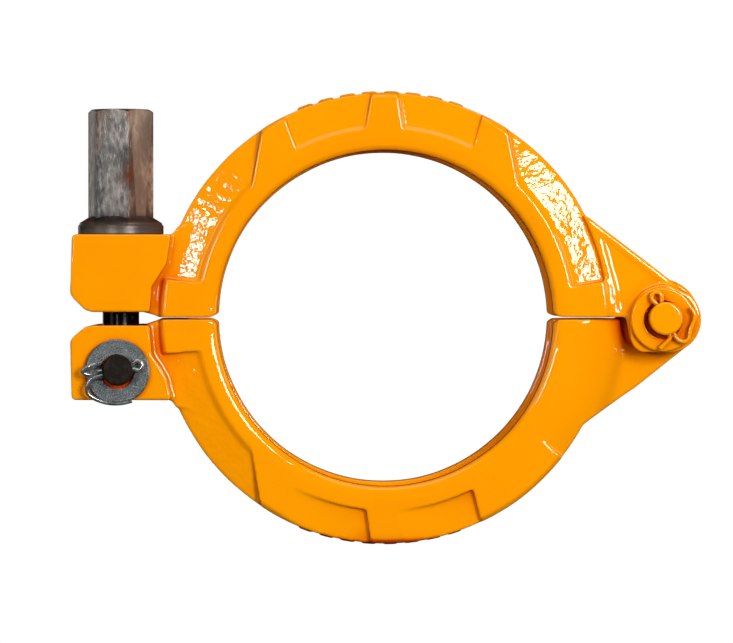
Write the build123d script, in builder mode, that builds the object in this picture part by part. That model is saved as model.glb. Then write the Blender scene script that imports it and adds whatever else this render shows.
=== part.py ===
"""Hinged two-half pipe coupling for a 5 inch pump line: two half rings on a hinge
pin, closed by a swing bolt with a long hexagon nut.

Frame, mm: origin at the ring centre, +Y along the pipe axis (the near face is at -Y),
+X toward the hinge, +Z up. The split plane is Z = 0.
"""

import os
from math import atan2, cos, degrees, radians, sin, sqrt

from build123d import *

os.makedirs("parts", exist_ok=True)

# ring
RING_R = 91.2  # outer radius
BORE_R = 68.0  # bore of the two lips
BEVEL_R = 69.6  # outer end of the bevel on the lip mouth
BEVEL_H = 1.9  # depth of that bevel
BREAK_R = 73.0  # the face falls a little toward the bore inside this radius
GROOVE_R = 80.0  # groove between the lips, takes the pipe collars
GROOVE_HALF = 13.0  # half width of the groove floor
LIP_HALF = 14.4  # half width of the groove at the bore
RING_HALF = 24.0  # half width of the ring
EDGE = 1.7  # chamfer on the outer corners of the ring
SPLIT = 0.4  # half of the gap between the two halves
JOIN_R = 90.0  # lugs and hinge webs start here, just inside the outer cylinder

# face pockets
POCKET_R = 77.6
POCKET_WALL = 2.1  # width of the sloping inner wall
POCKET_IN = 1.8  # depth at the inner wall
POCKET_OUT = 4.6  # depth at the outer edge
SHALLOW_IN = 1.2
SHALLOW_OUT = 2.8

# raised pads on the outer cylinder
PAD_H = 1.2
PAD_HALF = 9.5

# bolt lugs
BOLT_X = -107.7
PIN_Z = -20.6  # height of the swing bolt pin
LUG_HALF = 27.0
LUG_LEFT = -127.1
UP_TOP = 33.9
UP_LOW = 2.55
LO_TOP = -2.8
LO_LOW = -32.95
SLOT_HALF = 8.75
CLEVIS_HALF = 9.0
NECK_HALF = 20.5

# swing bolt and nut
BOLT_PIN_R = 6.2
EYE_R = 13.0
EYE_HALF = 8.5
SHANK_R = 7.5
THREAD_R = 7.9
BOLT_TIP = 83.0
COLLAR_R = 17.5
COLLAR_TOP = 37.9
CONE_TOP = 41.3
NUT_TOP = 85.0
NUT_AF = 24.0
NUT_BORE_R = 7.98
NUT_TURN = -13.9  # which way the flats face, degrees

# hinge
HX = 112.4
HINGE_PIN_R = 6.7
EAR_R = 13.4
EAR_C = (114.2, -0.5)  # the ear is a little off the pin
BOSS_R = 13.5
TONGUE_R = 15.9
TONGUE_HALF = 12.5
FORK_IN = 13.0
FORK_OUT = 26.0
WEB_OUT = 22.6
WEB_FLOOR = 22.0
RELIEF_R = 17.0

# washers, pins, cotters
PIN_END = 36.0
BOLT_PIN_END = 37.0
H_WASHER_R = 12.9
H_WASHER_T = 2.8
B_WASHER_R = 13.0
B_WASHER_T = 2.5


def polar(radius, angle):
    return (radius * cos(radians(angle)), radius * sin(radians(angle)))


def sector(r_in, r_out, a0, a1, lean0=0.0, lean1=0.0, steps=14):
    """Outline of a piece of ring from a0 to a1; the end walls lean at the outer radius."""
    inner = [polar(r_in, a0 + (a1 - a0) * i / steps) for i in range(steps + 1)]
    b0, b1 = a0 + lean0, a1 + lean1
    outer = [polar(r_out, b1 + (b0 - b1) * i / steps) for i in range(steps + 1)]
    return inner + outer


def tangent(cx, cz, radius, px, pz, side):
    """Where the line from (px, pz) touches the circle."""
    dx, dz = px - cx, pz - cz
    d = sqrt(dx * dx + dz * dz)
    base = degrees(atan2(dz, dx))
    swing = degrees(atan2(sqrt(d * d - radius * radius), radius))
    q = polar(radius, base + side * swing)
    return (cx + q[0], cz + q[1])


def shifted(points, dx, dz):
    return [(x + dx, z + dz) for x, z in points]


def arc_points(cx, cz, radius, a0, a1, steps=12):
    return [
        (cx + polar(radius, a0 + (a1 - a0) * i / steps)[0], cz + polar(radius, a0 + (a1 - a0) * i / steps)[1])
        for i in range(steps + 1)
    ]


RING_PROFILE = [
    (BORE_R, -LIP_HALF),
    (BORE_R, -RING_HALF + BEVEL_H),
    (BEVEL_R, -RING_HALF + 0.5),
    (BREAK_R, -RING_HALF),
    (RING_R - EDGE, -RING_HALF),
    (RING_R, -RING_HALF + EDGE),
    (RING_R, RING_HALF - EDGE),
    (RING_R - EDGE, RING_HALF),
    (BREAK_R, RING_HALF),
    (BEVEL_R, RING_HALF - 0.5),
    (BORE_R, RING_HALF - BEVEL_H),
    (BORE_R, LIP_HALF),
    (GROOVE_R, GROOVE_HALF),
    (GROOVE_R, -GROOVE_HALF),
]
FAR = RING_R + 3.0
SLOPE = (POCKET_OUT - POCKET_IN) / (RING_R - POCKET_R)
SLOPE_S = (SHALLOW_OUT - SHALLOW_IN) / (RING_R - POCKET_R)
DEEP = [
    (POCKET_R - 2.0 * POCKET_WALL, -RING_HALF - POCKET_IN),
    (POCKET_R, -RING_HALF + POCKET_IN),
    (FAR, -RING_HALF + POCKET_IN + SLOPE * (FAR - POCKET_R)),
    (FAR, -RING_HALF - POCKET_IN),
]
SHALLOW = [
    (POCKET_R - 1.0, -RING_HALF - 1.0),
    (POCKET_R - 1.0, -RING_HALF),
    (POCKET_R + 0.4, -RING_HALF + SHALLOW_IN),
    (FAR, -RING_HALF + SHALLOW_IN + SLOPE_S * (FAR - POCKET_R)),
    (FAR, -RING_HALF - 1.0),
]
OUT = RING_R + 2.0

# cutters for the face pockets, near side -------------------------------------
with BuildPart() as deep_cut:
    with BuildSketch(Plane.XY):
        Polygon(*DEEP, align=None)
    revolve(axis=Axis.Y)
    with BuildSketch(Plane.XZ):
        Polygon(*sector(POCKET_R - POCKET_WALL, OUT, 169.0, 136.0, 1.0, -14.0), align=None)
        Polygon(*sector(POCKET_R - 1.4, OUT, 9.5, 45.0, 0.0, 13.5), align=None)
        Polygon(*sector(POCKET_R - POCKET_WALL, OUT, 190.0, 224.0, -1.0, 13.5), align=None)
    extrude(amount=60, both=True, mode=Mode.INTERSECT)

with BuildPart() as shallow_cut:
    with BuildSketch(Plane.XY):
        Polygon(*SHALLOW, align=None)
    revolve(axis=Axis.Y)
    with BuildSketch(Plane.XZ):
        Polygon(*sector(POCKET_R - 1.0, OUT, 96.2, 117.6, -2.9, -1.2), align=None)
        Polygon(*sector(POCKET_R - 1.0, OUT, 62.6, 84.6, 2.2, 2.4), align=None)
    extrude(amount=60, both=True, mode=Mode.INTERSECT)

# lower pockets that fade toward their left end
WEDGES = []
for mid, span in ((253.5, 22.0), (285.5, 21.0)):
    direction = polar(1.0, mid)
    frame = Plane(origin=(0, 0, 0), x_dir=(-direction[1], 0, direction[0]), z_dir=(direction[0], 0, direction[1]))
    WEDGES.append((frame, span))

with BuildPart() as wedge_cut:
    for frame, span in WEDGES:
        half = RING_R * radians(span / 2.0)
        with BuildSketch(frame):
            with BuildLine():
                # local x runs round the ring, local y runs along the pipe axis
                y_sign = 1.0 if frame.y_dir.Y < 0 else -1.0
                Polyline(
                    (-half, y_sign * (RING_HALF - 0.1)),
                    (half + 4.0, y_sign * (RING_HALF - 3.8)),
                    (half + 4.0, y_sign * (RING_HALF + 2.0)),
                    (-half, y_sign * (RING_HALF + 2.0)),
                    close=True,
                )
            make_face()
        extrude(amount=OUT + 2.0)
    with BuildSketch(Plane.XZ):
        Polygon(*sector(POCKET_R, OUT, 241.5, 264.2, 0.0, 2.3), align=None)
        Polygon(*sector(POCKET_R, OUT, 273.5, 297.1, 0.0, -2.2), align=None)
    extrude(amount=60, both=True, mode=Mode.INTERSECT)

with BuildPart() as pads_top:
    for k in range(8):
        a = 71.5 + 5.6 * k
        with BuildSketch(Plane.XZ):
            Polygon(*sector(RING_R - 3.0, RING_R + PAD_H, a - 1.9, a + 1.9, steps=4), align=None)
        extrude(amount=PAD_HALF, both=True)

with BuildPart() as pads_low:
    for k in range(8):
        a = 249.5 + 5.5 * k
        with BuildSketch(Plane.XZ):
            Polygon(*sector(RING_R - 3.0, RING_R + PAD_H, a - 1.9, a + 1.9, steps=4), align=None)
        extrude(amount=PAD_HALF, both=True)

# hinge web outlines ------------------------------------------------------------
WEB_TOP = (82.1, 41.0)
touch = tangent(EAR_C[0], EAR_C[1], EAR_R, WEB_TOP[0], WEB_TOP[1], -1)
touch_a = degrees(atan2(touch[1] - EAR_C[1], touch[0] - EAR_C[0]))
EAR_OUTLINE = (
    [(70.0, SPLIT), (70.0, 46.0), (76.0, 43.6), WEB_TOP]
    + arc_points(EAR_C[0], EAR_C[1], EAR_R, touch_a, -96.0, 24)
    + [(HX - 9.2, -13.7), (HX - 12.1, -11.4), (HX - 13.6, -8.4), (HX - 14.4, -3.5), (HX - 14.9, SPLIT)]
)

# the raised part round the pin
BOSS_OUTLINE = (
    arc_points(EAR_C[0], EAR_C[1], EAR_R, touch_a - 4.0, -96.0, 24)
    + [(HX - 9.2, -13.7), (HX - 12.1, -11.4), (HX - 13.4, -8.4), (HX - 13.8, -3.5)]
    + arc_points(HX, 0.0, BOSS_R, 178.0, 75.0, 16)
)

# upper half --------------------------------------------------------------------
with BuildPart() as upper_half:
    # ring
    with BuildSketch(Plane.XY):
        Polygon(*RING_PROFILE, align=None)
    revolve(axis=Axis.Y)
    with BuildSketch(Plane.XY.offset(SPLIT)):
        Rectangle(400, 100)
    extrude(amount=200, mode=Mode.INTERSECT)
    # chamfers of the split ends at the bore
    with BuildSketch(Plane.XZ):
        Polygon((BORE_R - 1, SPLIT - 0.5), (BORE_R - 1, SPLIT + 1.6), (BORE_R + 4.2, SPLIT - 0.5), align=None)
        Polygon((-BORE_R + 1, SPLIT - 0.5), (-BORE_R + 1, SPLIT + 1.6), (-BORE_R - 4.2, SPLIT - 0.5), align=None)
    extrude(amount=60, both=True, mode=Mode.SUBTRACT)
    # face pockets, both faces
    add(deep_cut.part, mode=Mode.SUBTRACT)
    add(mirror(deep_cut.part, about=Plane.XZ, mode=Mode.PRIVATE), mode=Mode.SUBTRACT)
    add(shallow_cut.part, mode=Mode.SUBTRACT)
    add(mirror(shallow_cut.part, about=Plane.XZ, mode=Mode.PRIVATE), mode=Mode.SUBTRACT)
    # lug
    with BuildSketch(Plane.XZ):
        with BuildLine():
            Polyline(
                (LUG_LEFT, 10.2),
                (LUG_LEFT + 0.8, UP_TOP - 1.5),
                (LUG_LEFT + 1.2, UP_TOP - 0.5),
                (LUG_LEFT + 2.2, UP_TOP),
                (-86.5, UP_TOP),
                (-88.3, 22.0),
                (-91.2, 17.4),
                (-94.2, 12.8),
                (-95.0, UP_LOW),
                (-118.4, UP_LOW),
                (-121.2, UP_LOW + 1.0),
                (-125.9, UP_LOW + 5.6),
                close=True,
            )
        make_face()
        Circle(radius=JOIN_R, mode=Mode.SUBTRACT)
    extrude(amount=LUG_HALF, both=True)
    # neck between lug and ring, set back from both faces
    with BuildSketch(Plane.XZ):
        Polygon(
            (-98.0, UP_LOW), (-98.0, UP_TOP), (-86.9, UP_TOP), (-85.3, UP_TOP + 1.0), (-84.3, UP_TOP + 3.0),
            (-74.0, UP_TOP + 4.0), (-80.0, 20.0), (-80.0, SPLIT), (-91.4, SPLIT), (-93.4, 1.3), align=None,
        )
    extrude(amount=NECK_HALF, both=True)
    # open slot for the bolt, round at the ring side
    with BuildSketch(Plane.XY.offset(-10)):
        with BuildLine():
            slot_a = Line((-140, SLOT_HALF), (BOLT_X, SLOT_HALF))
            slot_b = RadiusArc(slot_a @ 1, (BOLT_X, -SLOT_HALF), SLOT_HALF)
            slot_c = Line(slot_b @ 1, (-140, -SLOT_HALF))
            Line(slot_c @ 1, slot_a @ 0)
        make_face()
    extrude(amount=60, mode=Mode.SUBTRACT)
    # hinge web and fork
    with BuildSketch(Plane.XZ):
        Polygon(*EAR_OUTLINE, align=None)
        Circle(radius=JOIN_R, mode=Mode.SUBTRACT)
    extrude(amount=WEB_OUT, both=True)
    with BuildSketch(Plane.XZ.offset(-FORK_OUT)):
        Polygon(*BOSS_OUTLINE, align=None)
    extrude(amount=2 * FORK_OUT)
    # slot of the fork
    with BuildSketch(Plane.XZ):
        with Locations((HX, 0)):
            Circle(radius=TONGUE_R + 1.6)
        Polygon((HX - 16.4, 0.0), (HX - 17.6, SPLIT), (HX - 17.6, -20), (HX + 20, -20), (HX + 20, 0.0), align=None)
    extrude(amount=FORK_IN, both=True, mode=Mode.SUBTRACT)
    # recess of the web, both faces
    for side in (-1, 1):
        with BuildSketch(Plane.XZ.offset(side * WEB_FLOOR)):
            Polygon((87.2, 33.6), (93.2, 11.2), (94.0, 2.6), (99.0, 2.6), (104.0, 8.0), (112.0, 14.6), align=None)
            with Locations((HX, 0)):
                Circle(radius=BOSS_R, mode=Mode.SUBTRACT)
        extrude(amount=side * 10.0, mode=Mode.SUBTRACT)
    # pin bore
    with BuildSketch(Plane.XZ.offset(-50)):
        with Locations((HX, 0)):
            Circle(radius=HINGE_PIN_R + 0.08)
    extrude(amount=100, mode=Mode.SUBTRACT)
    # groove and bore stay clear of the lug and the web
    with BuildSketch(Plane.XZ):
        Circle(radius=GROOVE_R)
    extrude(amount=GROOVE_HALF - 0.2, both=True, mode=Mode.SUBTRACT)
    add(pads_top.part)
upper_half.part.label = "upper_half"
export_step(upper_half.part, "parts/upper_half.step")

# lower half --------------------------------------------------------------------
RAMP = [(78.5, -RING_HALF), (86.0, -22.4), (95.0, -17.2), (104.0, -TONGUE_HALF), (140.0, -TONGUE_HALF)]
with BuildPart() as ramp_cut:
    with BuildSketch(Plane.XY):
        with BuildLine():
            ramp_a = Spline(*RAMP[:4], tangents=[(1, 0), (1, 0)])
            ramp_b = Line(ramp_a @ 1, RAMP[4])
            Polyline(ramp_b @ 1, (140.0, -40.0), (78.5, -40.0), ramp_a @ 0)
        make_face()
    revolve(axis=Axis.Y)
    with BuildSketch(Plane.XZ):
        Polygon((0, 0), polar(200, 12.0), polar(200, -10.0), polar(200, -38.0), align=None)
    extrude(amount=60, both=True, mode=Mode.INTERSECT)

low_touch = tangent(HX, 0.0, TONGUE_R, 102.0, -28.4, 1)
low_a = degrees(atan2(low_touch[1], low_touch[0] - HX))
TONGUE_OUTLINE = (
    [(70.0, -SPLIT), (70.0, -54.0), (75.2, -49.2), (78.9, -44.4), (83.0, -41.3), (102.0, -28.4)]
    + arc_points(HX, 0.0, TONGUE_R, low_a, 178.0, 26)
    + [(HX - TONGUE_R - 0.6, -SPLIT)]
)

with BuildPart() as lower_half:
    with BuildSketch(Plane.XY):
        Polygon(*RING_PROFILE, align=None)
    revolve(axis=Axis.Y)
    with BuildSketch(Plane.XY.offset(-SPLIT)):
        Rectangle(400, 100)
    extrude(amount=-200, mode=Mode.INTERSECT)
    with BuildSketch(Plane.XZ):
        Polygon((BORE_R - 1, -SPLIT + 0.5), (BORE_R - 1, -SPLIT - 1.6), (BORE_R + 4.2, -SPLIT + 0.5), align=None)
        Polygon((-BORE_R + 1, -SPLIT + 0.5), (-BORE_R + 1, -SPLIT - 1.6), (-BORE_R - 4.2, -SPLIT + 0.5), align=None)
    extrude(amount=60, both=True, mode=Mode.SUBTRACT)
    add(deep_cut.part, mode=Mode.SUBTRACT)
    add(mirror(deep_cut.part, about=Plane.XZ, mode=Mode.PRIVATE), mode=Mode.SUBTRACT)
    add(wedge_cut.part, mode=Mode.SUBTRACT)
    add(mirror(wedge_cut.part, about=Plane.XZ, mode=Mode.PRIVATE), mode=Mode.SUBTRACT)
    # clevis lug
    with BuildSketch(Plane.XZ):
        with BuildLine():
            Polyline(
                (LUG_LEFT, -9.0),
                (LUG_LEFT + 0.5, LO_LOW + 1.2),
                (LUG_LEFT + 1.4, LO_LOW),
                (-86.4, LO_LOW),
                (-88.2, -24.0),
                (-91.0, -19.4),
                (-94.2, -14.6),
                (-95.2, LO_TOP),
                (-117.6, LO_TOP),
                (-121.2, LO_TOP - 0.8),
                (-125.6, LO_TOP - 4.4),
                close=True,
            )
        make_face()
        Circle(radius=JOIN_R, mode=Mode.SUBTRACT)
    extrude(amount=LUG_HALF, both=True)
    with BuildSketch(Plane.XZ):
        Polygon(
            (-98.0, LO_TOP), (-98.0, LO_LOW), (-87.3, LO_LOW), (-85.8, LO_LOW - 1.0), (-84.7, LO_LOW - 3.0),
            (-74.0, LO_LOW - 4.0), (-80.0, -22.0), (-80.0, -SPLIT), (-91.4, -SPLIT), (-93.4, -1.3), align=None,
        )
    extrude(amount=NECK_HALF, both=True)
    # clevis slot, open to the left, above and below
    with BuildSketch(Plane.XZ):
        Polygon((-140, 10), (-94.0, 10), (-94.0, -60), (-140, -60), align=None)
    extrude(amount=CLEVIS_HALF, both=True, mode=Mode.SUBTRACT)
    with BuildSketch(Plane.XZ.offset(-50)):
        with Locations((BOLT_X, PIN_Z)):
            Circle(radius=BOLT_PIN_R + 0.08)
    extrude(amount=100, mode=Mode.SUBTRACT)
    # hinge web and tongue
    with BuildSketch(Plane.XZ):
        Polygon(*TONGUE_OUTLINE, align=None)
    extrude(amount=RING_HALF, both=True)
    add(ramp_cut.part, mode=Mode.SUBTRACT)
    add(mirror(ramp_cut.part, about=Plane.XZ, mode=Mode.PRIVATE), mode=Mode.SUBTRACT)
    # relief round the fork ears
    for side in (-1, 1):
        with BuildSketch(Plane.XZ.offset(side * TONGUE_HALF)):
            with Locations((HX, 0)):
                Circle(radius=RELIEF_R)
        extrude(amount=side * 30.0, mode=Mode.SUBTRACT)
    with BuildSketch(Plane.XZ.offset(-50)):
        with Locations((HX, 0)):
            Circle(radius=HINGE_PIN_R + 0.08)
    extrude(amount=100, mode=Mode.SUBTRACT)
    with BuildSketch(Plane.XZ):
        Circle(radius=GROOVE_R)
    extrude(amount=GROOVE_HALF - 0.2, both=True, mode=Mode.SUBTRACT)
    add(pads_low.part)
lower_half.part.label = "lower_half"
export_step(lower_half.part, "parts/lower_half.step")

# hinge pin ---------------------------------------------------------------------
HC = 112.0  # direction of the hinge cotter, eye end
HC_Y = 31.6
with BuildPart() as hinge_pin:
    with BuildSketch(Plane.XZ.offset(-PIN_END)):
        with Locations((HX, 0)):
            Circle(radius=HINGE_PIN_R)
    extrude(amount=2 * PIN_END)
    chamfer(hinge_pin.edges().filter_by(GeomType.CIRCLE), length=0.7)
    for y in (-HC_Y, HC_Y):
        with BuildSketch(Plane(origin=(HX, y, 0), z_dir=(polar(1, HC)[0], 0, polar(1, HC)[1]))):
            Circle(radius=2.3)
        extrude(amount=12, both=True, mode=Mode.SUBTRACT)
hinge_pin.part.label = "hinge_pin"
export_step(hinge_pin.part, "parts/hinge_pin.step")

with BuildPart() as hinge_washer_front:
    with BuildSketch(Plane.XZ.offset(FORK_OUT)):
        with Locations((HX - 0.6, -0.5)):
            Circle(radius=H_WASHER_R)
            Circle(radius=HINGE_PIN_R + 0.95, mode=Mode.SUBTRACT)
    extrude(amount=H_WASHER_T)
    chamfer(hinge_washer_front.edges().filter_by(GeomType.CIRCLE).group_by(SortBy.RADIUS)[-1], length=0.5)
hinge_washer_front.part.label = "hinge_washer_front"
export_step(hinge_washer_front.part, "parts/hinge_washer_front.step")

with BuildPart() as hinge_washer_rear:
    add(mirror(hinge_washer_front.part, about=Plane.XZ, mode=Mode.PRIVATE))
hinge_washer_rear.part.label = "hinge_washer_rear"
export_step(hinge_washer_rear.part, "parts/hinge_washer_rear.step")

# bolt pin and its washers --------------------------------------------------------
BC = 12.5  # direction of the bolt pin cotter, eye end
BC_Y = 32.3
with BuildPart() as bolt_pin:
    with BuildSketch(Plane.XZ.offset(-BOLT_PIN_END)):
        with Locations((BOLT_X, PIN_Z)):
            Circle(radius=BOLT_PIN_R)
    extrude(amount=2 * BOLT_PIN_END)
    chamfer(bolt_pin.edges().filter_by(GeomType.CIRCLE), length=0.8)
    for y in (-BC_Y, BC_Y):
        with BuildSketch(Plane(origin=(BOLT_X, y, PIN_Z), z_dir=(polar(1, BC)[0], 0, polar(1, BC)[1]))):
            Circle(radius=2.0)
        extrude(amount=12, both=True, mode=Mode.SUBTRACT)
bolt_pin.part.label = "bolt_pin"
export_step(bolt_pin.part, "parts/bolt_pin.step")

with BuildPart() as bolt_washer_front:
    with BuildSketch(Plane.XZ.offset(LUG_HALF)):
        with Locations((BOLT_X - 0.35, PIN_Z - 0.75)):
            Circle(radius=B_WASHER_R)
            Circle(radius=BOLT_PIN_R + 0.85, mode=Mode.SUBTRACT)
    extrude(amount=B_WASHER_T)
    chamfer(bolt_washer_front.edges().filter_by(GeomType.CIRCLE).group_by(SortBy.RADIUS)[-1], length=0.45)
bolt_washer_front.part.label = "bolt_washer_front"
export_step(bolt_washer_front.part, "parts/bolt_washer_front.step")

with BuildPart() as bolt_washer_rear:
    add(mirror(bolt_washer_front.part, about=Plane.XZ, mode=Mode.PRIVATE))
bolt_washer_rear.part.label = "bolt_washer_rear"
export_step(bolt_washer_rear.part, "parts/bolt_washer_rear.step")


def cotter_points(cx, cz, y, direction, points):
    """Points given along and across the cotter, turned into the frame."""
    ux, uz = polar(1, direction)
    return [Vector(cx + a * ux - b * uz, y + dy, cz + a * uz + b * ux) for a, b, dy in points]


# hinge cotter: eye outside the pin, two legs through it ---------------------------
HW = 0.9  # wire radius
HL = 0.96  # leg offset from the cotter line
hinge_eye = cotter_points(
    HX, 0.0, -HC_Y, HC,
    [(-7.2, HL, 0), (0.0, HL, 0), (5.8, HL, 0), (7.3, 1.35, 0), (8.9, 1.95, 0), (10.6, 1.5, 0),
     (11.3, 0.0, 0), (10.6, -1.5, 0), (8.9, -1.95, 0), (7.3, -1.35, 0), (5.8, -HL, 0), (0.0, -HL, 0), (-7.2, -HL, 0)],
)
with BuildPart() as hinge_cotter_front:
    with BuildLine() as hinge_wire:
        hinge_leg_a = Line((HX - 2.25, -HC_Y, -12.18), (HX + 1.516, -HC_Y, -8.45))
        hinge_bend = TangentArc(hinge_leg_a @ 1, hinge_eye[0], tangent=hinge_leg_a % 1)
        hinge_in = Line(hinge_eye[0], hinge_eye[2])
        hinge_loop = Spline(*hinge_eye[2:11], tangents=[hinge_eye[2] - hinge_eye[0], hinge_eye[12] - hinge_eye[10]])
        hinge_out = Line(hinge_eye[10], hinge_eye[12])
        hinge_leg_b = TangentArc(hinge_out @ 1, (HX + 6.5, -HC_Y, -9.15), tangent=hinge_out % 1)
        hinge_leg_c = TangentArc(hinge_leg_b @ 1, (HX + 9.7, -HC_Y, -7.1), tangent=hinge_leg_b % 1)
        hinge_leg_d = TangentArc(hinge_leg_c @ 1, (HX + 11.35, -HC_Y, -1.6), tangent=hinge_leg_c % 1)
        hinge_leg_e = TangentArc(hinge_leg_d @ 1, (HX + 10.0, -HC_Y, 4.3), tangent=hinge_leg_d % 1)
    with BuildSketch(Plane(origin=hinge_leg_a @ 0, z_dir=hinge_leg_a % 0)):
        Circle(radius=HW)
    sweep(path=hinge_wire.wires()[0])
hinge_cotter_front.part.label = "hinge_cotter_front"
export_step(hinge_cotter_front.part, "parts/hinge_cotter_front.step")

with BuildPart() as hinge_cotter_rear:
    add(mirror(hinge_cotter_front.part, about=Plane.XZ, mode=Mode.PRIVATE))
hinge_cotter_rear.part.label = "hinge_cotter_rear"
export_step(hinge_cotter_rear.part, "parts/hinge_cotter_rear.step")

# bolt pin cotter -------------------------------------------------------------------
BW = 0.85
BL = 0.9
bolt_eye = cotter_points(
    BOLT_X, PIN_Z, -BC_Y, BC,
    [(-6.8, BL, 0), (0.0, BL, 0), (5.4, BL, 0), (6.6, 1.25, 0), (8.0, 1.85, 0), (9.4, 1.35, 0),
     (10.0, 0.0, 0), (9.4, -1.35, 0), (8.0, -1.85, 0), (6.6, -1.25, 0), (5.4, -BL, 0), (0.0, -BL, 0), (-6.8, -BL, 0)],
)
with BuildPart() as bolt_cotter_front:
    with BuildLine() as bolt_wire:
        # lower leg: wraps down past the rim of the washer
        bolt_leg_b = Spline(
            Vector(BOLT_X + 5.6, -BC_Y + 1.7, PIN_Z - 12.4), Vector(BOLT_X - 1.0, -BC_Y + 1.6, PIN_Z - 13.5),
            Vector(BOLT_X - 8.2, -BC_Y + 1.2, PIN_Z - 12.0), Vector(BOLT_X - 12.3, -BC_Y + 0.5, PIN_Z - 8.2),
            Vector(BOLT_X - 11.0, -BC_Y, PIN_Z - 4.2), bolt_eye[12],
            tangents=[(-1, 0, -0.35), bolt_eye[10] - bolt_eye[12]],
        )
        bolt_in = Line(bolt_eye[12], bolt_eye[10])
        bolt_loop = Spline(*bolt_eye[10:1:-1], tangents=[bolt_eye[10] - bolt_eye[12], bolt_eye[0] - bolt_eye[2]])
        bolt_out = Line(bolt_eye[2], bolt_eye[0])
        bolt_leg_a = Spline(
            bolt_eye[0], Vector(BOLT_X - 11.6, -BC_Y - 0.3, PIN_Z - 1.9), Vector(BOLT_X - 13.9, -BC_Y - 1.0, PIN_Z - 0.6),
            Vector(BOLT_X - 12.2, -BC_Y - 1.6, PIN_Z + 1.1), Vector(BOLT_X - 8.7, -BC_Y - 1.9, PIN_Z + 2.3),
            tangents=[bolt_eye[0] - bolt_eye[2], (1, 0, 0.35)],
        )
    with BuildSketch(Plane(origin=bolt_leg_b @ 0, z_dir=bolt_leg_b % 0)):
        Circle(radius=BW)
    sweep(path=bolt_wire.wires()[0])
bolt_cotter_front.part.label = "bolt_cotter_front"
export_step(bolt_cotter_front.part, "parts/bolt_cotter_front.step")

with BuildPart() as bolt_cotter_rear:
    add(mirror(bolt_cotter_front.part, about=Plane.XZ, mode=Mode.PRIVATE))
bolt_cotter_rear.part.label = "bolt_cotter_rear"
export_step(bolt_cotter_rear.part, "parts/bolt_cotter_rear.step")

# swing bolt --------------------------------------------------------------------------
with BuildPart() as swing_bolt:
    with BuildSketch(Plane.XZ.offset(-EYE_HALF)):
        with Locations((BOLT_X, PIN_Z)):
            Circle(radius=EYE_R)
    extrude(amount=2 * EYE_HALF)
    chamfer(swing_bolt.edges().filter_by(GeomType.CIRCLE), length=0.9)
    with BuildSketch(Plane.XY.offset(PIN_Z)):
        with Locations((BOLT_X, 0)):
            Circle(radius=SHANK_R)
    extrude(amount=48.0)
    with BuildSketch(Plane.XY.offset(PIN_Z + 48.0)):
        with Locations((BOLT_X, 0)):
            Circle(radius=THREAD_R)
    extrude(amount=BOLT_TIP - PIN_Z - 48.0)
    chamfer(swing_bolt.faces().sort_by(Axis.Z)[-1].edges(), length=1.4)
    with BuildSketch(Plane.XZ.offset(-50)):
        with Locations((BOLT_X, PIN_Z)):
            Circle(radius=BOLT_PIN_R + 0.09)
    extrude(amount=100, mode=Mode.SUBTRACT)
swing_bolt.part.label = "swing_bolt"
export_step(swing_bolt.part, "parts/swing_bolt.step")

# collar under the nut ------------------------------------------------------------------
with BuildPart() as nut_washer:
    with BuildSketch(Plane.XY.offset(UP_TOP)):
        with Locations((BOLT_X, 0)):
            Circle(radius=COLLAR_R)
            Circle(radius=NUT_BORE_R + 0.5, mode=Mode.SUBTRACT)
    extrude(amount=COLLAR_TOP - UP_TOP)
    chamfer(nut_washer.edges().filter_by(GeomType.CIRCLE).group_by(SortBy.RADIUS)[-1], length=0.45)
nut_washer.part.label = "nut_washer"
export_step(nut_washer.part, "parts/nut_washer.step")

# long nut --------------------------------------------------------------------------------
AC = NUT_AF / cos(radians(30)) / 2.0  # corner radius of the hexagon
with BuildPart() as nut_limit:
    with BuildSketch(Plane.XZ):
        Polygon(
            (0, COLLAR_TOP),
            (COLLAR_R - 0.5, COLLAR_TOP),
            (COLLAR_R - 0.7, COLLAR_TOP + 0.8),
            (AC + 0.4, CONE_TOP + 0.2),
            (AC + 0.4, NUT_TOP - 1.5),
            (AC - 2.2, NUT_TOP),
            (0, NUT_TOP),
            align=None,
        )
    revolve(axis=Axis.Z)

with BuildPart() as nut_core:
    with BuildSketch(Plane.XY.offset(COLLAR_TOP)):
        RegularPolygon(radius=AC, side_count=6, rotation=NUT_TURN)
    extrude(amount=NUT_TOP - COLLAR_TOP)
    with BuildSketch(Plane.XZ):
        Polygon(
            (0, COLLAR_TOP),
            (COLLAR_R - 0.5, COLLAR_TOP),
            (COLLAR_R - 0.7, COLLAR_TOP + 0.8),
            (AC - 1.6, CONE_TOP + 0.2),
            (0, CONE_TOP + 0.2),
            align=None,
        )
    revolve(axis=Axis.Z)
    add(nut_limit.part, mode=Mode.INTERSECT)
    with BuildSketch(Plane.XY.offset(COLLAR_TOP - 1)):
        Circle(radius=NUT_BORE_R)
    extrude(amount=60, mode=Mode.SUBTRACT)
    rims = nut_core.edges().filter_by(GeomType.CIRCLE).filter_by(lambda e: abs(e.radius - NUT_BORE_R) < 0.01)
    chamfer(rims.sort_by(Axis.Z)[-1], length=0.9)

with BuildPart() as long_nut:
    add(nut_core.part.moved(Location((BOLT_X, 0, 0))))
long_nut.part.label = "long_nut"
export_step(long_nut.part, "parts/long_nut.step")

for piece in (
    upper_half, lower_half, hinge_pin, hinge_washer_front, hinge_washer_rear, hinge_cotter_front,
    hinge_cotter_rear, swing_bolt, bolt_pin, bolt_washer_front, bolt_washer_rear, bolt_cotter_front,
    bolt_cotter_rear, nut_washer, long_nut,
):
    print(piece.part.label, "solids", len(piece.part.solids()), "mm3", round(piece.part.volume))
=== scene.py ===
import math

import bmesh
import bpy
import numpy as np
from mathutils import Matrix, Vector


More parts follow.
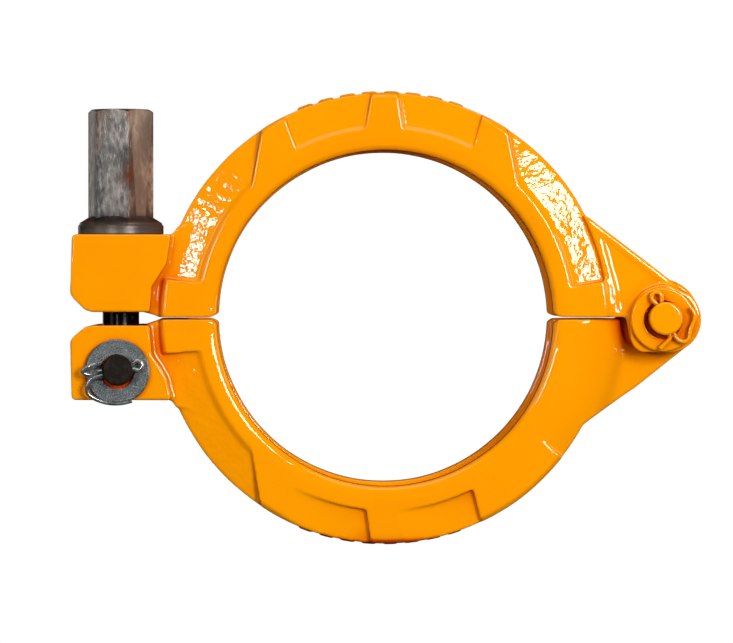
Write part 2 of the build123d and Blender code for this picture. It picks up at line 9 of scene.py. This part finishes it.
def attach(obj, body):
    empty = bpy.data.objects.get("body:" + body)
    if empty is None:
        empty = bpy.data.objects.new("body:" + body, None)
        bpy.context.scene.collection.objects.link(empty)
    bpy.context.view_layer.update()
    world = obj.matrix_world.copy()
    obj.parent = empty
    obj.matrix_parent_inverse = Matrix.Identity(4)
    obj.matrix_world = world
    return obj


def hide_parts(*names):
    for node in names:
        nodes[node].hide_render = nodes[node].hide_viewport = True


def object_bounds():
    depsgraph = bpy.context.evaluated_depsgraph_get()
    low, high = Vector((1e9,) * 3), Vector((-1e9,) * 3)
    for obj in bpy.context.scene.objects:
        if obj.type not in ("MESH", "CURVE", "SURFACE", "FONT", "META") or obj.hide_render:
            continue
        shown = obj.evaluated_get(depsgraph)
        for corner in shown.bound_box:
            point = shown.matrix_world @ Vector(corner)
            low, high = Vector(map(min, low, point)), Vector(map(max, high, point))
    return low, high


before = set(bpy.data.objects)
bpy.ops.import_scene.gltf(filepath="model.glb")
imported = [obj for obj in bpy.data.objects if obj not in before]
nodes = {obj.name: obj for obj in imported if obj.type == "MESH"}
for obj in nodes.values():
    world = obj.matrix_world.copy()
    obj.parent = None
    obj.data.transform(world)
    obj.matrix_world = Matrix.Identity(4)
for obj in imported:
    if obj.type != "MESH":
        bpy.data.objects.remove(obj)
cad_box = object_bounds()

SEED = 7
HINGE = (0.1124, 0.0)
BOLT = (-0.1077, -0.0206)

# ------------------------------------------------------------------ helpers


def arrays(mesh):
    co = np.empty(len(mesh.vertices) * 3)
    mesh.vertices.foreach_get("co", co)
    ed = np.empty(len(mesh.edges) * 2, np.int64)
    mesh.edges.foreach_get("vertices", ed)
    return co.reshape(-1, 3), ed.reshape(-1, 2)


def put(mesh, co):
    mesh.vertices.foreach_set("co", co.astype(np.float32).ravel())
    mesh.update()


def remeshed(node, voxel, name):
    """A copy of a CAD node as one even, closed skin of small faces."""
    me = nodes[node].data.copy()
    me.materials.clear()
    tmp = bpy.data.objects.new(name + "_tmp", me)
    bpy.context.scene.collection.objects.link(tmp)
    mod = tmp.modifiers.new("voxel", "REMESH")
    mod.mode = "VOXEL"
    mod.voxel_size = voxel
    mod.use_smooth_shade = True
    dg = bpy.context.evaluated_depsgraph_get()
    out = bpy.data.meshes.new_from_object(tmp.evaluated_get(dg))
    bpy.data.objects.remove(tmp)
    bpy.data.meshes.remove(me)
    out.name = name
    return out


def smooth(co, ed, weight, rounds, step=0.5):
    """Taubin smoothing: rounds the edges with hardly any shrinking."""
    n = len(co)
    deg = np.bincount(ed.ravel(), minlength=n).astype(float)
    deg[deg == 0] = 1

    def lap(c):
        out = np.empty_like(c)
        for k in range(3):
            s = np.bincount(ed[:, 0], c[ed[:, 1], k], n) + np.bincount(ed[:, 1], c[ed[:, 0], k], n)
            out[:, k] = s / deg - c[:, k]
        return out

    w = weight[:, None]
    for _ in range(rounds):
        co = co + step * w * lap(co)
        co = co - (step * 0.93) * w * lap(co)
    return co


def plain_smooth(co, ed, weight, rounds, step=0.5):
    n = len(co)
    deg = np.bincount(ed.ravel(), minlength=n).astype(float)
    deg[deg == 0] = 1
    w = weight[:, None]
    for _ in range(rounds):
        avg = np.empty_like(co)
        for k in range(3):
            avg[:, k] = (np.bincount(ed[:, 0], co[ed[:, 1], k], n) + np.bincount(ed[:, 1], co[ed[:, 0], k], n)) / deg
        co = co + step * w * (avg - co)
    return co


def value_noise(p, size, seed):
    """Smooth noise in -1..1 at points p, with features of about size."""
    rng = np.random.default_rng(seed)
    table = rng.uniform(-1, 1, 4096)
    q = p / size
    i = np.floor(q).astype(np.int64)
    f = q - i
    f = f * f * (3 - 2 * f)
    out = np.zeros(len(p))
    for dx in (0, 1):
        for dy in (0, 1):
            for dz in (0, 1):
                h = ((i[:, 0] + dx) * 73856093) ^ ((i[:, 1] + dy) * 19349663) ^ ((i[:, 2] + dz) * 83492791)
                w = (
                    (f[:, 0] if dx else 1 - f[:, 0])
                    * (f[:, 1] if dy else 1 - f[:, 1])
                    * (f[:, 2] if dz else 1 - f[:, 2])
                )
                out += w * table[h & 4095]
    return out


def normals(mesh):
    nr = np.empty(len(mesh.vertices) * 3)
    mesh.vertices.foreach_get("normal", nr)
    return nr.reshape(-1, 3)


def new_object(name, mesh, body, slot, material, *replaced):
    ob = bpy.data.objects.new(name, mesh)
    bpy.context.scene.collection.objects.link(ob)
    mesh.materials.clear()
    mesh.materials.append(material)
    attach(ob, body)
    if replaced:
        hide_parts(*replaced)
    return ob


# ---------------------------------------------------------------- materials


class Nodes:
    def __init__(self, name):
        self.mat = bpy.data.materials.new(name)
        self.mat.use_nodes = True
        self.t = self.mat.node_tree
        self.t.nodes.clear()
        self.out = self.add("ShaderNodeOutputMaterial")
        self.coord = self.add("ShaderNodeTexCoord")

    def add(self, kind, **values):
        n = self.t.nodes.new(kind)
        for k, v in values.items():
            setattr(n, k, v)
        return n

    def link(self, a, b):
        self.t.links.new(a, b)

    def noise(self, scale, detail=3.0, rough=0.5, stretch=None, distortion=0.0):
        n = self.add("ShaderNodeTexNoise")
        n.inputs["Scale"].default_value = scale
        n.inputs["Detail"].default_value = detail
        n.inputs["Roughness"].default_value = rough
        n.inputs["Distortion"].default_value = distortion
        src = self.coord.outputs["Object"]
        if stretch:
            m = self.add("ShaderNodeMapping")
            m.inputs["Scale"].default_value = stretch
            self.link(src, m.inputs["Vector"])
            src = m.outputs["Vector"]
        self.link(src, n.inputs["Vector"])
        return n.outputs["Fac"]

    def ramp(self, fac, stops):
        r = self.add("ShaderNodeValToRGB")
        e = r.color_ramp.elements
        while len(e) > 1:
            e.remove(e[-1])
        e[0].position, e[0].color = stops[0][0], stops[0][1]
        for pos, col in stops[1:]:
            x = e.new(pos)
            x.color = col
        self.link(fac, r.inputs["Fac"])
        return r.outputs["Color"]

    def grey(self, fac, stops):
        return self.ramp(fac, [(p, (v, v, v, 1)) for p, v in stops])

    def math(self, op, a, b=None, clamp=False):
        n = self.add("ShaderNodeMath", operation=op, use_clamp=clamp)
        for i, v in enumerate((a, b)):
            if v is None:
                continue
            if isinstance(v, (int, float)):
                n.inputs[i].default_value = v
            else:
                self.link(v, n.inputs[i])
        return n.outputs["Value"]

    def mix(self, fac, a, b, blend="MIX"):
        n = self.add("ShaderNodeMix", data_type="RGBA", blend_type=blend)
        for sock, v in ((n.inputs["Factor"], fac), (n.inputs["A"], a), (n.inputs["B"], b)):
            if isinstance(v, (int, float)):
                sock.default_value = v if sock.type == "VALUE" else (v, v, v, 1)
            elif isinstance(v, tuple):
                sock.default_value = v
            else:
                self.link(v, sock)
        return n.outputs["Result"]

    def bump(self, height, strength, distance, below=None):
        n = self.add("ShaderNodeBump")
        if isinstance(strength, (int, float)):
            n.inputs["Strength"].default_value = strength
        else:
            self.link(strength, n.inputs["Strength"])
        n.inputs["Distance"].default_value = distance
        self.link(height, n.inputs["Height"])
        if below is not None:
            self.link(below, n.inputs["Normal"])
        return n.outputs["Normal"]

    def finish(self, **inputs):
        b = self.add("ShaderNodeBsdfPrincipled")
        for k, v in inputs.items():
            sock = b.inputs[k.replace("_", " ")]
            if isinstance(v, (int, float)):
                sock.default_value = v
            elif isinstance(v, tuple):
                sock.default_value = v
            else:
                self.link(v, sock)
        self.link(b.outputs["BSDF"], self.out.inputs["Surface"])
        return self.mat


def lin(r, g, b):
    f = lambda c: c / 12.92 if c <= 0.04045 else ((c + 0.055) / 1.055) ** 2.4
    return (f(r / 255), f(g / 255), f(b / 255), 1.0)


def enamel(name, peel=1.0, rough_attr=False):
    """Thick glossy orange-yellow enamel over forged steel."""
    n = Nodes(name)
    tone = n.noise(9.0, 4.0, 0.55)
    colour = n.ramp(tone, [(0.25, lin(247, 147, 0)), (0.55, lin(250, 153, 0)), (0.8, lin(251, 158, 0))])
    specks = n.noise(900.0, 2.0, 0.5)
    colour = n.mix(n.grey(specks, [(0.70, 0.0), (0.80, 0.25)]), colour, lin(222, 120, 0))
    # painted shade: creases, hollows and gaps are darkened towards red-brown by ambient occlusion
    ao = n.add("ShaderNodeAmbientOcclusion", samples=6)
    ao.inputs["Distance"].default_value = 0.010
    colour = n.mix(n.grey(ao.outputs["AO"], [(0.30, 1.0), (0.82, 0.0)]), colour, lin(205, 62, 0))
    wave = n.noise(260.0, 2.0, 0.45)
    fine = n.noise(620.0, 2.0, 0.5)
    cast = n.noise(95.0, 3.0, 0.55)
    if rough_attr:
        a = n.add("ShaderNodeAttribute", attribute_name="rough_cast")
        amount = n.math("MULTIPLY_ADD", a.outputs["Fac"], 0.8)
        n.t.nodes[-1].inputs[2].default_value = 0.20 * peel
        height = n.math("ADD", n.math("MULTIPLY", wave, 1.0), n.math("MULTIPLY", fine, 0.25))
        normal = n.bump(height, amount, 0.00035)
    else:
        height = n.math("ADD", n.math("MULTIPLY", wave, 1.0), n.math("MULTIPLY", fine, 0.3))
        normal = n.bump(height, 0.28 * peel, 0.0003)
    normal = n.bump(cast, 0.25 * peel, 0.0006, normal)
    return n.finish(
        Base_Color=colour,
        Roughness=0.5,
        Specular_IOR_Level=0.0,
        Coat_Weight=1.0,
        Coat_Roughness=0.03,
        Coat_IOR=1.45,
        Normal=normal,
        Coat_Normal=normal,
    )


def steel(name, dark, mid, light, size, rough=(0.28, 0.5), bump=0.25, rust=None, rust_at=(0.5, 0.66), metal=1.0, stretch=(1, 1, 1), spec=0.5, painted_sheen_flats=None, painted_foot_shade=None, shank_shade_top=None):
    """Worn steel: soft cloudy tones, fine grain, rust or scale in patches."""
    n = Nodes(name)
    s1 = n.noise(size, 4.0, 0.55, stretch=stretch, distortion=0.4)
    s2 = n.noise(size * 4.5, 3.0, 0.6, stretch=stretch)
    f = n.math("ADD", n.math("MULTIPLY", s1, 0.7), n.math("MULTIPLY", s2, 0.3))
    colour = n.ramp(f, [(0.34, dark), (0.5, mid), (0.66, light)])
    if rust:
        r = n.noise(size * 0.6, 5.0, 0.62, stretch=stretch)
        colour = n.mix(n.grey(r, [(rust_at[0], 0.0), (rust_at[1], 0.8)]), colour, rust)
    edge = n.add("ShaderNodeNewGeometry")
    worn = n.grey(edge.outputs["Pointiness"], [(0.51, 0.0), (0.56, 0.55)])
    colour = n.mix(worn, colour, light)
    if painted_sheen_flats:
        # painted reflection: the outer flats are painted brighter than the middle one, as if lit by the side lamps
        at = n.add("ShaderNodeSeparateXYZ")
        n.link(n.coord.outputs["Object"], at.inputs[0])
        lo, hi = painted_sheen_flats
        right = n.math("DIVIDE", n.math("SUBTRACT", at.outputs["X"], hi), 0.0008, clamp=True)
        left = n.math("DIVIDE", n.math("SUBTRACT", lo, at.outputs["X"]), 0.0008, clamp=True)
        sides = n.math("MAXIMUM", right, left)
        colour = n.mix(sides, colour, n.mix(1.0, colour, (2.6, 2.15, 1.85, 1), "MULTIPLY"))
    if painted_foot_shade is not None:
        # painted shade: the foot of the nut, next to the collar, is darkened with a ragged edge
        up = n.add("ShaderNodeSeparateXYZ")
        n.link(n.coord.outputs["Object"], up.inputs[0])
        ragged = n.math("MULTIPLY_ADD", s1, 0.006)
        n.t.nodes[-1].inputs[2].default_value = painted_foot_shade - 0.003
        foot_shade = n.math("DIVIDE", n.math("SUBTRACT", ragged, up.outputs["Z"]), 0.0035, clamp=True)
        colour = n.mix(foot_shade, colour, n.mix(1.0, colour, (0.30, 0.22, 0.18, 1), "MULTIPLY"))
    if shank_shade_top is not None:
        # the thread is painted nine times lighter than the shank below; the near-black shank colour is partly
        # painted shade, for the shade between the lugs
        tall = n.add("ShaderNodeSeparateXYZ")
        n.link(n.coord.outputs["Object"], tall.inputs[0])
        thread = n.math("DIVIDE", n.math("SUBTRACT", tall.outputs["Z"], shank_shade_top), 0.002, clamp=True)
        colour = n.mix(thread, colour, n.mix(1.0, colour, (9.0, 9.0, 8.6, 1), "MULTIPLY"))
    rr = n.grey(s2, [(0.3, rough[1]), (0.7, rough[0])])
    normal = n.bump(s2, bump, 0.00025)
    normal = n.bump(n.noise(1500.0, 2.0, 0.5), bump * 0.5, 0.00006, normal)
    return n.finish(Base_Color=colour, Metallic=metal, Roughness=rr, Specular_IOR_Level=spec, Normal=normal)


ENAMEL = enamel("orange_enamel", rough_attr=True)
ENAMEL_SMALL = enamel("orange_enamel_small", peel=0.7)
nut_x = [v.co.x for v in nodes["long_nut"].data.vertices]
nut_mid = (min(nut_x) + max(nut_x)) / 2
nut_low = min(v.co.z for v in nodes["long_nut"].data.vertices)
NUT = steel("nut_steel", lin(46, 43, 41), lin(74, 72, 70), lin(134, 130, 125), 90.0, rough=(0.28, 0.48), bump=0.55, rust=lin(86, 50, 36), rust_at=(0.50, 0.66), metal=0.55, stretch=(1.5, 1.5, 0.7), spec=0.3, painted_sheen_flats=(nut_mid - 0.0100, nut_mid + 0.0034), painted_foot_shade=nut_low + 0.0055)
COLLAR = steel("collar_steel", lin(16, 12, 10), lin(34, 28, 24), lin(110, 102, 96), 60.0, rough=(0.25, 0.42), bump=0.35, rust=lin(34, 18, 12), metal=0.45, stretch=(0.3, 0.3, 7.0), spec=0.12)
# near-black bolt steel: partly its dark finish, partly painted shade of the shank between the lugs
DARK = steel("bolt_steel", lin(4, 3, 3), lin(8, 6, 6), lin(30, 24, 22), 120.0, rough=(0.10, 0.2), bump=0.12, metal=0.3, spec=0.25, shank_shade_top=0.0285)
PIN = steel("bolt_pin_steel", lin(3, 2, 2), lin(7, 5, 3), lin(46, 38, 32), 420.0, rough=(0.3, 0.5), bump=0.5, metal=0.0, spec=0.06)
ZINC = steel("zinc_washer", lin(32, 36, 37), lin(66, 72, 74), lin(140, 146, 147), 330.0, rough=(0.2, 0.38), bump=0.35, metal=0.75, spec=0.3)
WIRE = steel("zinc_wire", lin(110, 112, 112), lin(168, 172, 172), lin(232, 234, 234), 300.0, rough=(0.14, 0.28), bump=0.1, metal=0.85)

# ------------------------------------------------------------------- halves


def forged(node, body, slot):
    voxel = 0.0006
    me = remeshed(node, voxel, node + "_forged")
    co, ed = arrays(me)
    x, y, z = co[:, 0], co[:, 1], co[:, 2]
    # the pin holes and the faces within 8 mm of the pin axes are smoothed less and keep their shape
    d_h = np.hypot(x - HINGE[0], z - HINGE[1])
    d_b = np.hypot(x - BOLT[0], z - BOLT[1])
    keep = np.clip((np.minimum(d_h, d_b) - 0.0080) / 0.0015, 0, 1)
    w = 0.15 + 0.85 * keep
    k = 1.0
    co = plain_smooth(co, ed, w, int(2 * k) + 1, 0.5)
    co = smooth(co, ed, w, int(5 * k) + 1)
    put(me, co)
    nr = normals(me)
    x, y, z = co[:, 0], co[:, 1], co[:, 2]
    # the unevenness of a forged and ground surface
    amp = 0.00012 * keep
    co = co + nr * (amp * value_noise(co, 0.017, SEED) + 0.4 * amp * value_noise(co, 0.006, SEED + 1))[:, None]
    put(me, co)
    # rough skin is kept to the floors of the face pockets
    r = np.hypot(x, z)
    floor = (np.abs(y) > 0.0185) & (np.abs(y) < 0.0236) & (r > 0.0775) & (r < 0.0912) & (np.abs(nr[:, 1]) > 0.93)
    turn = np.degrees(np.arctan2(z, x)) % 360.0
    coarse = ((turn > 6) & (turn < 62)) | ((turn > 120) & (turn < 172)) | ((turn > 186) & (turn < 236))
    tilt = np.clip((r - 0.0765) / 0.002, 0, 1) * floor * np.where(coarse, 1.0, 0.12)
    tilt = plain_smooth(np.repeat(tilt[:, None].astype(float), 3, 1), ed, np.ones(len(co)), 3, 0.5)[:, 0]
    att = me.attributes.new("rough_cast", "FLOAT", "POINT")
    att.data.foreach_set("value", tilt.astype(np.float32))
    me.shade_smooth()
    return new_object(node + "_forged", me, body, slot, ENAMEL, node)


upper = forged("upper_half", "upper", "upper_enamel")
lower = forged("lower_half", "lower", "lower_enamel")

# ---------------------------------------------------- painted hinge hardware


def painted(node, body, slot, voxel, rounds):
    me = remeshed(node, voxel, node + "_painted")
    co, ed = arrays(me)
    co = smooth(co, ed, np.ones(len(co)), rounds)
    put(me, co)
    me.shade_smooth()
    return new_object(node + "_painted", me, body, slot, ENAMEL_SMALL, node)


fine = 0.0003
for n in ("hinge_pin",):
    painted(n, "lower", "hinge_pin_enamel", fine, 8)
for n in ("hinge_washer_front", "hinge_washer_rear"):
    painted(n, "lower", "hinge_washer_enamel", fine, 8)
for n in ("hinge_cotter_front", "hinge_cotter_rear"):
    painted(n, "lower", "hinge_cotter_enamel", 0.0002, 6)


def cad_finish(node, material, width=0.00035):
    """The CAD piece itself, with softened edges and its own finish."""
    ob = nodes[node]
    for s in range(len(ob.material_slots)):
        ob.material_slots[s].material = material
    if not ob.material_slots:
        ob.data.materials.append(material)
    if width:
        b = ob.modifiers.new("edges", "BEVEL")
        b.width = width
        b.segments = 3
        b.limit_method = "ANGLE"
        b.angle_limit = math.radians(28)
        b.harden_normals = False
        b.use_clamp_overlap = True


cad_finish("long_nut", NUT, 0.0007)
cad_finish("nut_washer", COLLAR, 0.0003)
cad_finish("bolt_pin", PIN, 0.0003)
cad_finish("bolt_washer_front", ZINC, 0.0003)
cad_finish("bolt_washer_rear", ZINC, 0.0003)
cad_finish("bolt_cotter_front", WIRE, 0.0)
cad_finish("bolt_cotter_rear", WIRE, 0.0)


# -------------------------------------------------------------- swing bolt

THREAD_FOOT = 0.0285
THREAD_END = 0.0830
PITCH = 0.002
CREST, ROOT = 0.00788, 0.00680


def threaded_bolt():
    """The CAD eye and shank with a real cut thread in place of the plain end."""
    bm = bmesh.new()
    bm.from_mesh(nodes["swing_bolt"].data)
    bmesh.ops.remove_doubles(bm, verts=bm.verts, dist=1e-6)
    cut = bmesh.ops.bisect_plane(
        bm, geom=list(bm.verts) + list(bm.edges) + list(bm.faces),
        plane_co=(0, 0, THREAD_FOOT), plane_no=(0, 0, 1), clear_outer=True,
    )
    rim = [e for e in cut["geom_cut"] if isinstance(e, bmesh.types.BMEdge)]
    bmesh.ops.holes_fill(bm, edges=rim, sides=0)
    cols = 96
    z0, z1 = THREAD_FOOT - 0.0012, THREAD_END
    rows = int((z1 - z0) / (PITCH / 14))
    rings = []
    for j in range(rows + 1):
        z = z0 + (z1 - z0) * j / rows
        ring = []
        for i in range(cols):
            a = 2 * math.pi * i / cols
            t = (z / PITCH - i / cols) % 1.0
            h = min(1.0, max(0.0, (abs(2 * t - 1) - 0.12) / 0.74))
            r = ROOT + (CREST - ROOT) * h
            # runs out into the shank below and is chamfered above
            r = r + (0.0074 - r) * min(1.0, max(0.0, (z0 + 0.0022 - z) / 0.0012))
            r = min(r, CREST - max(0.0, z - (z1 - 0.0014)))
            ring.append(bm.verts.new((BOLT[0] + r * math.cos(a), r * math.sin(a), z)))
        rings.append(ring)
    for low, high in zip(rings, rings[1:]):
        for i in range(cols):
            k = (i + 1) % cols
            bm.faces.new((low[i], low[k], high[k], high[i]))
    bm.faces.new(list(reversed(rings[0])))
    bm.faces.new(rings[-1])
    me = bpy.data.meshes.new("swing_bolt_rough")
    bm.to_mesh(me)
    bm.free()
    tmp = bpy.data.objects.new("swing_bolt_tmp", me)
    bpy.context.scene.collection.objects.link(tmp)
    mod = tmp.modifiers.new("voxel", "REMESH")
    mod.mode = "VOXEL"
    mod.voxel_size = 0.00024
    mod.use_smooth_shade = True
    dg = bpy.context.evaluated_depsgraph_get()
    out = bpy.data.meshes.new_from_object(tmp.evaluated_get(dg))
    bpy.data.objects.remove(tmp)
    bpy.data.meshes.remove(me)
    out.name = "swing_bolt_threaded"
    co, ed = arrays(out)
    co = smooth(co, ed, np.ones(len(co)), 4)
    put(out, co)
    out.shade_smooth()
    return new_object("swing_bolt_threaded", out, "bolt", "bolt_steel", DARK, "swing_bolt")


threaded_bolt()

# ---------------------------------------------------------- stage and lights


def staged(name, size, place, turn, colour):
    me = bpy.data.meshes.new(name)
    s = size / 2
    me.from_pydata([(-s, -s, 0), (s, -s, 0), (s, s, 0), (-s, s, 0)], [], [(0, 1, 2, 3)])
    ob = bpy.data.objects.new(name, me)
    ob.rotation_euler = turn
    ob.location = place
    bpy.context.scene.collection.objects.link(ob)
    n = Nodes(name + "_mat")
    e = n.add("ShaderNodeEmission")
    e.inputs["Color"].default_value = colour
    e.inputs["Strength"].default_value = 1.0
    n.link(e.outputs["Emission"], n.out.inputs["Surface"])
    me.materials.append(n.mat)
    return ob


floor = staged("floor", 30.0, (0, 0, cad_box[0][2] - 0.0005), (0, 0, 0), (1.02, 1.02, 1.02, 1))
floor.visible_diffuse = False
floor.visible_glossy = False

world = bpy.data.worlds.new("studio")
bpy.context.scene.world = world
world.use_nodes = True
wt = world.node_tree
wt.nodes.clear()
wo = wt.nodes.new("ShaderNodeOutputWorld")
bg_seen = wt.nodes.new("ShaderNodeBackground")
bg_seen.inputs["Color"].default_value = (1.02, 1.02, 1.02, 1)
bg_lit = wt.nodes.new("ShaderNodeBackground")
bg_lit.inputs["Color"].default_value = (1.0, 1.0, 1.0, 1)
bg_lit.inputs["Strength"].default_value = 0.02
mixer = wt.nodes.new("ShaderNodeMixShader")
rays = wt.nodes.new("ShaderNodeLightPath")
wt.links.new(rays.outputs["Is Camera Ray"], mixer.inputs[0])
wt.links.new(bg_lit.outputs[0], mixer.inputs[1])
wt.links.new(bg_seen.outputs[0], mixer.inputs[2])
wt.links.new(mixer.outputs[0], wo.inputs["Surface"])


def softbox(name, place, target, size_x, size_y, radiance, colour=(1, 1, 1), glossy=True):
    """An area light of even brightness, given by the brightness of its face."""
    light = bpy.data.lights.new(name, "AREA")
    light.shape = "RECTANGLE"
    light.size = size_x
    light.size_y = size_y
    light.energy = radiance * math.pi * size_x * size_y
    light.color = colour
    ob = bpy.data.objects.new(name, light)
    ob.location = place
    ob.rotation_euler = (Vector(target) - Vector(place)).to_track_quat("-Z", "Y").to_euler()
    bpy.context.scene.collection.objects.link(ob)
    ob.visible_camera = False
    ob.visible_glossy = glossy
    return ob


softbox("key_right", (0.50, -1.20, 0.25), (0, 0, 0), 0.34, 0.44, 27.0)
softbox("key_left", (-0.56, -1.20, 0.16), (0, 0, 0), 0.10, 0.24, 46.0)
softbox("top", (0.0, -0.45, 1.15), (0, 0, 0), 1.3, 0.8, 1.6)
softbox("fill_left", (-1.2, -0.7, 0.35), (0, 0, 0), 0.4, 0.8, 1.6)
softbox("fill_right", (1.30, -0.14, 0.20), (0, 0, 0), 0.35, 0.8, 3.2)
softbox("fill_front", (0.0, -1.6, 0.25), (0, 0, 0), 1.2, 1.0, 0.75, glossy=False)
softbox("back_key", (0.35, 1.50, 0.45), (0, 0, 0), 0.5, 0.5, 21.0, glossy=False)
softbox("back_fill", (-0.60, 1.40, 0.10), (0, 0, 0), 0.4, 0.6, 6.0, glossy=False)
softbox("low_fill", (0.0, -0.30, -1.30), (0, 0, 0), 0.9, 0.6, 0.9, glossy=False)
softbox("back_left", (-0.78, 1.35, 0.10), (-0.1, 0, 0.05), 0.5, 0.8, 0.9)

# ------------------------------------------------------------------- camera

WIDTH, HEIGHT = 733, 643
FOCAL_PX = 3964.3
NEAR_Y = -0.024
MM_PER_PX = 0.4036e-3
dist = FOCAL_PX * MM_PER_PX
vp = (287.5, 267.0)  # where the pipe axis vanishes
origin_px = (385.5, 318.3)
centre = (366.5, 321.5)
yaw = math.atan((centre[0] - vp[0]) / FOCAL_PX)
pitch = -math.atan((centre[1] - vp[1]) / FOCAL_PX)
forward = Vector((math.sin(yaw) * math.cos(pitch), math.cos(yaw) * math.cos(pitch), math.sin(pitch)))
right = Vector((math.cos(yaw), -math.sin(yaw), 0))
up = right.cross(forward)
# the point (0, NEAR_Y, 0) is seen at origin_px, at depth dist
ray = forward + right * ((origin_px[0] - centre[0]) / FOCAL_PX) + up * ((centre[1] - origin_px[1]) / FOCAL_PX)
place = Vector((0, NEAR_Y, 0)) - ray * dist
cam_data = bpy.data.cameras.new("camera")
cam_data.sensor_fit = "HORIZONTAL"
cam_data.sensor_width = 36.0
cam_data.lens = FOCAL_PX / WIDTH * 36.0
cam_data.clip_start = 0.01
cam = bpy.data.objects.new("camera", cam_data)
rot = Matrix((right, up, -forward)).transposed()
cam.matrix_world = Matrix.Translation(place) @ rot.to_4x4()
bpy.context.scene.collection.objects.link(cam)
bpy.context.scene.camera = cam
bpy.context.scene.view_settings.view_transform = "Standard"
bpy.context.scene.view_settings.look = "None"

bpy.context.view_layer.update()
